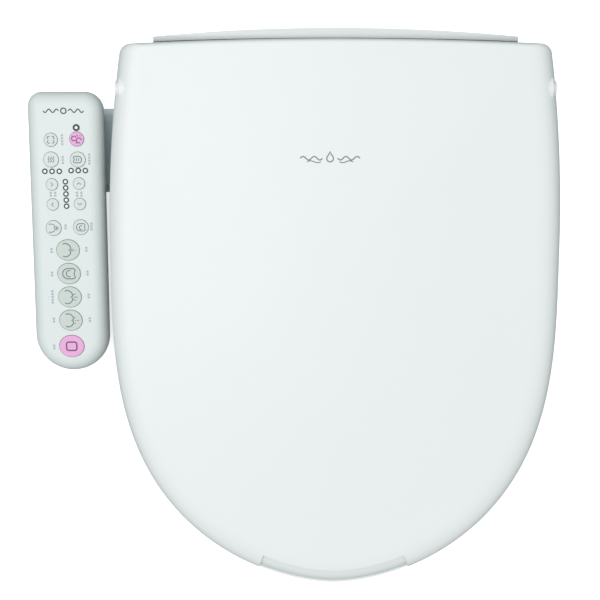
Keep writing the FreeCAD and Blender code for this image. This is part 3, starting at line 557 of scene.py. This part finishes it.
def seat_outline():
    """The D drawn in from the lid's, cut off with rounded corners in front of the body."""
    corner_y = SEAT_REAR_Y - SEAT_CORNER_R
    right = [drawn_in(point, SEAT_INSET) for point in half_outline()]
    right = [point for point in right if point[1] < corner_y]
    corner_x = right[-1][0] - SEAT_CORNER_R
    right += quarter_arc(corner_x, corner_y, SEAT_CORNER_R, SEAT_CORNER_STEPS)
    for step in range(1, SEAT_REAR_STEPS + 1):
        right.append((corner_x * (1.0 - step / SEAT_REAR_STEPS), SEAT_REAR_Y))
    return right + [(-x, y) for x, y in reversed(right[1:-1])]


def seat_section(reach):
    """Steps from the foot of the outer wall over the top to the foot of the hole's wall.

    Each step is the distance in from the outer edge and the depth below the top surface, where
    None stands for the bottom.
    """
    steps = [(0.0, None)]
    for step in range(SEAT_EDGE_STEPS + 1):
        angle = math.radians(90.0 * step / SEAT_EDGE_STEPS)
        steps.append((SEAT_EDGE_R * (1.0 - math.cos(angle)), SEAT_EDGE_R * (1.0 - math.sin(angle))))
    flat = reach - SEAT_EDGE_R - HOLE_EDGE_R
    steps += [(SEAT_EDGE_R + flat * share, 0.0) for share in FLAT_SHARES]
    for step in range(HOLE_EDGE_STEPS + 1):
        angle = math.radians(90.0 * step / HOLE_EDGE_STEPS)
        inwards = reach - HOLE_EDGE_R * (1.0 - math.sin(angle))
        steps.append((inwards, HOLE_EDGE_R * (1.0 - math.cos(angle))))
    return steps + [(reach, None)]


def seat_arms():
    """Both hinge arms with their round ears, as one tool."""
    arms = []
    for side in (-1.0, 1.0):
        outline = list(ARM_LOW)
        for step in range(EAR_STEPS):
            angle = math.radians(EAR_STEP * step + EAR_START)
            outline.append((HINGE.y + EAR_R * math.cos(angle), HINGE.z + EAR_R * math.sin(angle)))
        outline.append(ARM_TOP)
        verts = [(side * x, y, z) for x in (ARM_IN, ARM_OUT) for y, z in outline]
        size = len(outline)
        caps = [tuple(range(size)), tuple(range(size, 2 * size))]
        arm = new_object("arm", verts, rings_to_faces(2, size) + caps)
        bevel = arm.modifiers.new("round edges", "BEVEL")
        bevel.width = ARM_EDGE
        bevel.segments = ARM_EDGE_STEPS
        bevel.limit_method = "ANGLE"
        bevel.angle_limit = math.radians(ARM_BEVEL_ANGLE)
        bpy.context.view_layer.update()
        bake_modifiers(arm)
        arms.append(arm)
    return merge(arms)


def seat_cuts():
    """The arch over the nozzles and the two hinge bores, as one tool."""
    tools = [block("arch", ARCH_LOW, ARCH_HIGH)]
    for side in (-1.0, 1.0):
        start = Vector((side * (ARM_IN - CUT_MARGIN), HINGE.y, HINGE.z))
        end = start + Vector((side * SEAT_BORE_DEPTH, 0.0, 0.0))
        tools.append(rod("bore", SHAFT_BORE_R, start, end))
    return merge(tools)


def make_seat():
    """The seat ring as sections set round its hole, with the arms joined on."""
    columns = []
    for x, y in seat_outline():
        angle = math.atan2(x, y - HOLE_Y)
        hole_r = 1.0 / math.hypot(math.sin(angle) / HOLE_HALF_W, math.cos(angle) / HOLE_HALF_L)
        outer_r = math.hypot(x, y - HOLE_Y)
        column = []
        for inwards, depth in seat_section(outer_r - hole_r):
            radius = outer_r - inwards
            place_y = HOLE_Y + radius * math.cos(angle)
            top = SEAT_TOP_Z + SEAT_SLOPE * (place_y - TIP_Y)
            height = SEAT_LOW.z if depth is None else top - depth
            column.append((radius * math.sin(angle), place_y, height))
        columns.append(column)
    size = len(columns[0])
    verts = [point for column in columns for point in column]
    faces = []
    for i in range(len(columns)):
        j = (i + 1) % len(columns)
        for k in range(size):
            following = (k + 1) % size
            faces.append((i * size + k, j * size + k, j * size + following, i * size + following))
    seat = new_object("seat_ring", verts, faces)
    combine(seat, seat_arms(), "UNION")
    combine(seat, seat_cuts(), "DIFFERENCE")
    finish_piece(seat, "seat_gloss", "seat")
    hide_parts("seat_top")


lid = make_lid()
make_seat()


# ---- carried-over CAD nodes -------------------------------------------------------------------
SLOTS = {part["node"]: part["material_slot"] for part in frame["record"]["subparts"]}


def finish_cad_nodes():
    """Give each carried-over CAD node its slot's material; the panel's case has its own darker grey, partly a
    two-tone moulding and partly painted shade for its flank in the gap beside the lid.
    """
    for name, piece in frame["nodes"].items():
        piece.data.materials.clear()
        piece.data.materials.append(MATERIALS[SLOTS[name]])
    frame["nodes"]["panel_case"].data.materials[0] = CASE_GREY_AND_SHADE


finish_cad_nodes()


# ---- prints on the panel, keys and lid ----------------------------------------------------------
OUT = -Vector(next(j for j in frame["joints"] if j["name"] == "stop_button_press")["axis"]).normalized()
ACROSS = Vector((1.0, 0.0, 0.0))
BACK = OUT.cross(ACROSS)
MM = 0.001
PRINT_RISE, PRINT_SINK = 0.05, 0.12     # millimetres above and below the printed surface
PRINT_CREASE_ANGLE = 30.0


def local_range(name, direction):
    """Lowest and highest reach of a CAD node along a direction."""
    reach = [vert.co.dot(direction) for vert in frame["nodes"][name].data.vertices]
    return min(reach), max(reach)


PANEL_MIDDLE = sum(local_range("panel_cover", ACROSS)) / 2.0
PANEL_REAR = local_range("panel_cover", BACK)[1]
PANEL_FACE = local_range("panel_cover", OUT)[1]


def panel_place(u, v, level):
    """Point of the panel's face: u mm from its middle, v mm from its rear end, level mm above it."""
    along = PANEL_REAR - v * MM
    return ACROSS * (PANEL_MIDDLE + u * MM) + BACK * along + OUT * (PANEL_FACE + level * MM)


def key_place(name):
    """A function that gives points on the top of a key, in millimetres from its middle."""
    across = sum(local_range(name, ACROSS)) / 2.0
    back = sum(local_range(name, BACK)) / 2.0
    top = local_range(name, OUT)[1]

    def place(x, y, level):
        return ACROSS * (across + x * MM) + BACK * (back + y * MM) + OUT * (top + level * MM)

    return place


class Print:
    """Thin raised strokes of one ink on one surface, gathered into one piece."""

    def __init__(self, name, place, rise=PRINT_RISE):
        self.name = name
        self.place = place
        self.rise = rise
        self.verts = []
        self.faces = []

    def stroke(self, path, width, closed=False):
        """A ribbon of this width along a path of (x, y) points in millimetres."""
        path = [Vector(point) for point in path]
        count = len(path)
        first = len(self.verts)
        for i, point in enumerate(path):
            before = path[(i - 1) % count] if closed or i > 0 else point
            after = path[(i + 1) % count] if closed or i < count - 1 else point
            tangent = (after - before).normalized()
            side = Vector((-tangent.y, tangent.x)) * width / 2.0
            low, high = -PRINT_SINK, self.rise
            for edge, level in ((side, low), (-side, low), (-side, high), (side, high)):
                corner = point + edge
                self.verts.append(self.place(corner.x, corner.y, level))
        spans = count if closed else count - 1
        for i in range(spans):
            near, far = first + 4 * i, first + 4 * ((i + 1) % count)
            for k in range(4):
                following = (k + 1) % 4
                self.faces.append((near + k, far + k, far + following, near + following))
        if not closed:
            last = first + 4 * (count - 1)
            self.faces += [tuple(first + k for k in range(4)), tuple(last + k for k in (3, 2, 1, 0))]

    def strokes(self, paths, width):
        for path in paths:
            self.stroke(path, width)

    def make(self, ink, body):
        piece = new_object(self.name, self.verts, self.faces)
        piece.data.materials.append(ink)
        mark_creases(piece, PRINT_CREASE_ANGLE)
        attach(piece, body)


def arc(x, y, radius, start, end, steps=10):
    """Points on a circle from one angle to another, in degrees."""
    points = []
    for step in range(steps + 1):
        angle = math.radians(start + (end - start) * step / steps)
        points.append((x + radius * math.cos(angle), y + radius * math.sin(angle)))
    return points


def shifted(path, x, y):
    return [(px + x, py + y) for px, py in path]


def circle(x, y, radius, steps=24):
    return arc(x, y, radius, 0.0, 360.0, steps)[:-1]


def wave(x0, x1, y, height, turns, steps=40):
    """A sine line from x0 to x1 about the height y."""
    points = []
    for step in range(steps + 1):
        share = step / steps
        points.append((x0 + (x1 - x0) * share, y + height * math.sin(2.0 * math.pi * turns * share)))
    return points


def rounded_frame(half_x, half_y, radius):
    """Closed rectangle with rounded corners."""
    points = []
    for side_x, side_y, start in ((1, 1, 0.0), (-1, 1, 90.0), (-1, -1, 180.0), (1, -1, 270.0)):
        points += arc(side_x * (half_x - radius), side_y * (half_y - radius), radius, start, start + 90.0, 6)
    return points


def droplet(x, y, radius, height):
    """Closed drop with its tip at the top."""
    aside, up = radius * 0.32, height * 0.62
    points = arc(x, y, radius, -215.0, 35.0, 20)
    return points + [(x + aside, y + up), (x, y + height), (x - aside, y + up)]


# Generic caption bars beside the keys: place in millimetres across and along the panel, number of
# bars, and whether a dot stands to the left.
CAPTIONS = (
    (-2.0, 42.4, 4, False), (-2.0, 60.4, 3, False), (21.7, 59.6, 4, False), (-1.5, 120.6, 2, False),
    (21.9, 120.2, 3, False), (-14.9, 142.0, 2, True), (-15.2, 163.7, 2, True), (-15.5, 184.8, 5, True),
    (-15.0, 206.4, 2, True), (-15.6, 231.5, 2, False), (16.7, 141.0, 2, True), (17.1, 162.8, 2, True),
    (17.5, 183.9, 2, True), (17.9, 206.0, 2, True),
)
BAR_PITCH, BAR_LENGTH, BAR_WIDTH = 2.6, 1.9, 2.0
DOT_FROM, DOT_TO, DOT_WIDTH = 3.6, 3.0, 0.5
ARROW_KEYS_U, ARROW_KEYS_V, ARROW_BAR_SHIFT = 11.8, 91.0, 2.0
EMBLEM_V, EMBLEM_REACH, EMBLEM_GAP, EMBLEM_RING_R = 16.9, 18.0, 4.4, 2.4
EMBLEM_LINE, EMBLEM_RING_LINE = 1.0, 1.1
LAMP_RING_RISE, LAMP_RING_SIDES = 0.3, 32
LAMP_RING_R, LAMP_RING_LINE = 1.9, 1.25
REAR_LAMP_RING_R, REAR_LAMP_RING_LINE = 2.2, 1.9
SAME_POINT = 1e-6                       # metres


def caption(marks, u, v, count, dot):
    """A short column of plain solid bars."""
    for bar in range(count):
        middle = v + (bar - (count - 1) / 2.0) * BAR_PITCH
        marks.stroke([(u, middle - BAR_LENGTH / 2.0), (u, middle + BAR_LENGTH / 2.0)], BAR_WIDTH)
    if dot:
        marks.stroke([(u - DOT_FROM, v), (u - DOT_TO, v)], DOT_WIDTH)


def panel_prints():
    captions = Print("panel_captions", panel_place)
    for u, v, count, dot in CAPTIONS:
        caption(captions, u, v, count, dot)
    for u in (-ARROW_KEYS_U, ARROW_KEYS_U):
        for shift in (-ARROW_BAR_SHIFT, ARROW_BAR_SHIFT):
            caption(captions, u + shift, ARROW_KEYS_V, 2, False)
    captions.make(CAPTION_INK, "main_body")
    emblem = Print("panel_emblem", panel_place)
    emblem.stroke(wave(-EMBLEM_REACH, -EMBLEM_GAP, EMBLEM_V, 1.5, 2.0), EMBLEM_LINE)
    emblem.stroke(circle(0.0, EMBLEM_V, EMBLEM_RING_R), EMBLEM_RING_LINE, closed=True)
    emblem.stroke(wave(EMBLEM_GAP, EMBLEM_REACH, EMBLEM_V, -1.5, 2.0), EMBLEM_LINE)
    emblem.make(DARK_INK, "main_body")


def lamp_centres():
    """Middle of each lamp lens across the panel and along it."""
    bm = bmesh.new()
    bm.from_mesh(frame["nodes"]["panel_lamps"].data)
    bmesh.ops.remove_doubles(bm, verts=bm.verts, dist=SAME_POINT)
    left = set(bm.verts)
    centres = []
    while left:
        island = [left.pop()]
        for vert in island:
            for edge in vert.link_edges:
                other = edge.other_vert(vert)
                if other in left:
                    left.remove(other)
                    island.append(other)
        across = [vert.co.dot(ACROSS) for vert in island]
        back = [vert.co.dot(BACK) for vert in island]
        centres.append(((min(across) + max(across)) / 2.0, (min(back) + max(back)) / 2.0))
    bm.free()
    return centres


def lamp_rings():
    """Dark ring round each lamp lens; the single lamp at the rear has a broader one."""
    rings = Print("lamp_rings", panel_place, rise=LAMP_RING_RISE)
    centres = []
    for across, back in lamp_centres():
        centres.append(((across - PANEL_MIDDLE) / MM, (PANEL_REAR - back) / MM))
    rear_most = min(v for u, v in centres)
    for u, v in centres:
        radius, line = LAMP_RING_R, LAMP_RING_LINE
        if v == rear_most:
            radius, line = REAR_LAMP_RING_R, REAR_LAMP_RING_LINE
        rings.stroke(circle(u, v, radius, LAMP_RING_SIDES), line, closed=True)
    rings.make(DARK_INK, "main_body")


# ---- key symbols, drawn in millimetres from the middle of the key -------------------------------
BODY_LINE = 0.95


def body_curve():
    """Double curve seen on the wash keys, open to the left."""
    upper = [(-4.5, 5.4), (-3.0, 6.1), (-1.0, 5.9), (0.9, 4.9)]
    upper += [(2.2, 3.3), (2.6, 1.8), (2.2, 0.7), (0.9, 0.0)]
    lower = [(x, -y) for x, y in reversed(upper[:-1])]
    return upper + lower


def spray(length):
    """Three jets that fan out to the right."""
    return [[(3.6, 0.0), (3.6 + length, 0.0)], [(3.0, 1.9), (3.0 + length * 0.6, 3.3)],
            [(3.0, -1.9), (3.0 + length * 0.6, -3.3)]]


def seat_plan(half_x, half_y):
    """Closed outline of a seat seen from above, with its rear to the right."""
    rear = ((0.75, -1.0), (1.0, -0.75), (0.8, 0.0), (1.0, 0.75), (0.75, 1.0))
    front = arc(-half_x * 0.15, 0.0, half_y, 90.0, 270.0, 14)
    return front + [(half_x * x, half_y * y) for x, y in rear]


def seat_hole(half_x, half_y):
    return arc(half_x * 0.1, 0.0, half_y * 0.62, 70.0, 290.0, 12)


def front_wash_symbol(marks):
    marks.stroke(body_curve(), BODY_LINE)
    marks.stroke(circle(4.1, 0.0, 1.0, 14), 0.5, closed=True)
    marks.strokes([[(6.0, 0.0), (6.6, 0.0)], [(7.4, 0.0), (8.0, 0.0)]], 0.5)


def rear_wash_symbol(marks):
    marks.stroke(seat_plan(5.9, 4.7), 1.0, closed=True)
    marks.stroke(seat_hole(5.9, 4.7), 0.9)


def soft_wash_symbol(marks):
    marks.stroke(body_curve(), BODY_LINE)
    marks.strokes(spray(3.6), 0.7)


def dry_symbol(marks):
    marks.stroke(body_curve(), BODY_LINE)
    marks.strokes([[(3.6, 0.0), (4.6, 0.0)], [(5.4, 0.0), (7.6, 0.0)], [(3.2, 2.2), (4.6, 3.2)],
                   [(3.2, -2.2), (4.6, -3.2)]], 0.6)


def stop_symbol(marks):
    marks.stroke(rounded_frame(4.7, 3.9, 1.9), 1.35, closed=True)


def light_symbol(marks):
    for x, y, turn in ((-1.9, 1.8, 150.0), (1.9, 1.9, 30.0), (-1.8, -1.9, 210.0), (1.9, -1.8, 330.0)):
        marks.stroke(arc(x, y, 1.2, turn - 110.0, turn + 110.0, 8), 0.75)


def power_saving_symbol(marks):
    marks.stroke(arc(-2.4, 0.5, 2.1, 20.0, 320.0, 12), 0.9)
    marks.stroke(arc(2.0, -1.2, 2.2, 0.0, 300.0, 12), 0.9)
    marks.strokes([[(0.0, 3.9), (1.2, 2.2)], [(3.0, 3.4), (3.4, 2.4)], [(-0.6, -3.9), (0.0, -2.8)]], 0.8)


def seat_heat_symbol(marks):
    for x in (-2.0, 0.1, 2.2):
        marks.stroke([(x + 0.5 * math.sin(step), 2.7 - 0.45 * step) for step in range(13)], 0.7)


def water_heat_symbol(marks):
    marks.stroke([(-x, y) for x, y in seat_plan(3.9, 2.9)], 0.9, closed=True)
    marks.strokes([[(-1.2, -1.4), (-1.2, 1.4)], [(0.7, -1.2), (0.7, 1.2)]], 0.8)


def massage_symbol(marks):
    marks.stroke([(0.8 * x - 0.6, 0.62 * y) for x, y in body_curve()], 0.75)
    marks.strokes([[(2.7, -1.8), (2.7, 1.8)], [(4.0, -1.3), (4.0, 1.3)]], 0.8)


def move_symbol(marks):
    marks.stroke(seat_plan(4.1, 3.3), 0.8, closed=True)
    marks.stroke(arc(0.4, -0.3, 1.7, 60.0, 300.0, 10), 0.8)


def chevron(turn):
    """Arrow symbol that points right, turned by this many degrees."""
    cosine, sine = math.cos(math.radians(turn)), math.sin(math.radians(turn))

    def symbol(marks):
        path = [(-0.8, 1.8), (0.9, 0.0), (-0.8, -1.8)]
        marks.stroke([(x * cosine - y * sine, x * sine + y * cosine) for x, y in path], 0.75)

    return symbol


SYMBOLS = {
    "light_button": light_symbol,
    "power_saving_button": power_saving_symbol,
    "seat_heat_button": seat_heat_symbol,
    "water_heat_button": water_heat_symbol,
    "pressure_up_button": chevron(0.0),
    "nozzle_forward_button": chevron(90.0),
    "pressure_down_button": chevron(180.0),
    "nozzle_back_button": chevron(270.0),
    "massage_button": massage_symbol,
    "move_button": move_symbol,
    "front_wash_button": front_wash_symbol,
    "rear_wash_button": rear_wash_symbol,
    "soft_wash_button": soft_wash_symbol,
    "dry_button": dry_symbol,
    "stop_button": stop_symbol,
}
PURPLE_KEYS = ("power_saving_button", "stop_button")


def key_prints():
    for name, symbol in SYMBOLS.items():
        marks = Print(name.replace("button", "symbol"), key_place(name))
        symbol(marks)
        marks.make(PURPLE_INK if name in PURPLE_KEYS else KEY_INK, name)


LID_MARK = (-5.0, -56.0)                # millimetres
OVER_LID = 1.0                          # height in metres from which the lid's surface is sought


def lid_print():
    """Generic water emblem on the middle of the lid: a drop between two ripples."""
    tree = BVHTree.FromObject(lid, bpy.context.evaluated_depsgraph_get())

    def place(x, y, level):
        x, y = (LID_MARK[0] + x) * MM, (LID_MARK[1] + y) * MM
        hit = tree.ray_cast(Vector((x, y, OVER_LID)), Vector((0.0, 0.0, -1.0)))[0]
        return hit + Vector((0.0, 0.0, level * MM))

    marks = Print("lid_emblem", place)
    marks.stroke(droplet(0.0, -1.4, 2.9, 6.0), 1.1, closed=True)
    marks.stroke(wave(-26.0, -6.5, -1.2, 1.5, 2.0), 1.1)
    marks.stroke(wave(6.5, 26.0, -1.2, -1.5, 2.0), 1.1)
    marks.stroke(wave(-20.0, -8.0, -4.2, 0.8, 1.0, 20), 0.9)
    marks.stroke(wave(8.0, 20.0, -4.2, -0.8, 1.0, 20), 0.9)
    marks.make(LID_INK, "lid")


panel_prints()
lamp_rings()
key_prints()
lid_print()


# ---- floor, light and camera ------------------------------------------------------------------
FLOOR_HALF, FLOOR_THICKNESS, FLOOR_GLOW = 30.0, 0.02, 0.6
SKY_BELOW, SKY_HORIZON, SKY_ABOVE = (0.16, 0.19, 0.195), (0.19, 0.24, 0.25), (1.0, 1.0, 1.0)
SKY_STRENGTH = 1.22
KEY_PLACE, KEY_AIM = Vector((-1.0, -0.4, 2.6)), Vector((-0.05, -0.2, 0.0))
KEY_SIZE, KEY_POWER = 2.2, 25.0
CAMERA_PLACE, CAMERA_LENS, CAMERA_SENSOR = (-0.0312, -0.1806, 1.150), 70.2, 36.0


def make_floor():
    """Pale light table: it glows a little, and the object isn't lit from it but from the world."""
    low, high = (-FLOOR_HALF, -FLOOR_HALF, -FLOOR_THICKNESS), (FLOOR_HALF, FLOOR_HALF, 0.0)
    floor = block("floor", low, high)
    glow = surface("floor", (0.93, 0.93, 0.93), 0.7)
    shader = glow.node_tree.nodes["Principled BSDF"]
    shader.inputs["Emission Color"].default_value = (1.0, 1.0, 1.0, 1.0)
    shader.inputs["Emission Strength"].default_value = FLOOR_GLOW
    floor.data.materials.append(glow)
    floor.visible_diffuse = False
    floor.visible_glossy = False


def make_sky():
    """White overhead, and grey from the horizon down, so that rims and flanks darken."""
    world = bpy.data.worlds.new("studio")
    bpy.context.scene.world = world
    world.use_nodes = True
    nodes, links = world.node_tree.nodes, world.node_tree.links
    place = nodes.new("ShaderNodeTexCoord")
    split = nodes.new("ShaderNodeSeparateXYZ")
    ramp = nodes.new("ShaderNodeValToRGB")
    stops = ramp.color_ramp.elements
    stops[0].position = 0.0
    stops[0].color = (*SKY_BELOW, 1.0)
    stops[1].position = 1.0
    stops[1].color = (*SKY_ABOVE, 1.0)
    horizon = stops.new(0.5)
    horizon.color = (*SKY_HORIZON, 1.0)
    height = nodes.new("ShaderNodeMapRange")
    height.inputs["From Min"].default_value = -1.0
    links.new(place.outputs["Generated"], split.inputs["Vector"])
    links.new(split.outputs["Z"], height.inputs["Value"])
    links.new(height.outputs["Result"], ramp.inputs["Fac"])
    links.new(ramp.outputs["Color"], nodes["Background"].inputs["Color"])
    nodes["Background"].inputs["Strength"].default_value = SKY_STRENGTH


def make_key_light():
    data = bpy.data.lights.new("key", "AREA")
    data.shape = "DISK"
    data.size = KEY_SIZE
    data.energy = KEY_POWER
    lamp = bpy.data.objects.new("key", data)
    lamp.location = KEY_PLACE
    lamp.rotation_euler = (KEY_AIM - KEY_PLACE).to_track_quat("-Z", "Y").to_euler()
    bpy.context.scene.collection.objects.link(lamp)


def make_camera():
    """Camera straight above the seat, looking down."""
    data = bpy.data.cameras.new("camera")
    data.sensor_width = CAMERA_SENSOR
    data.lens = CAMERA_LENS
    camera = bpy.data.objects.new("camera", data)
    camera.location = CAMERA_PLACE
    bpy.context.scene.collection.objects.link(camera)
    bpy.context.scene.camera = camera


make_floor()
make_sky()
make_key_light()
make_camera()
bpy.context.scene.view_settings.view_transform = "Standard"
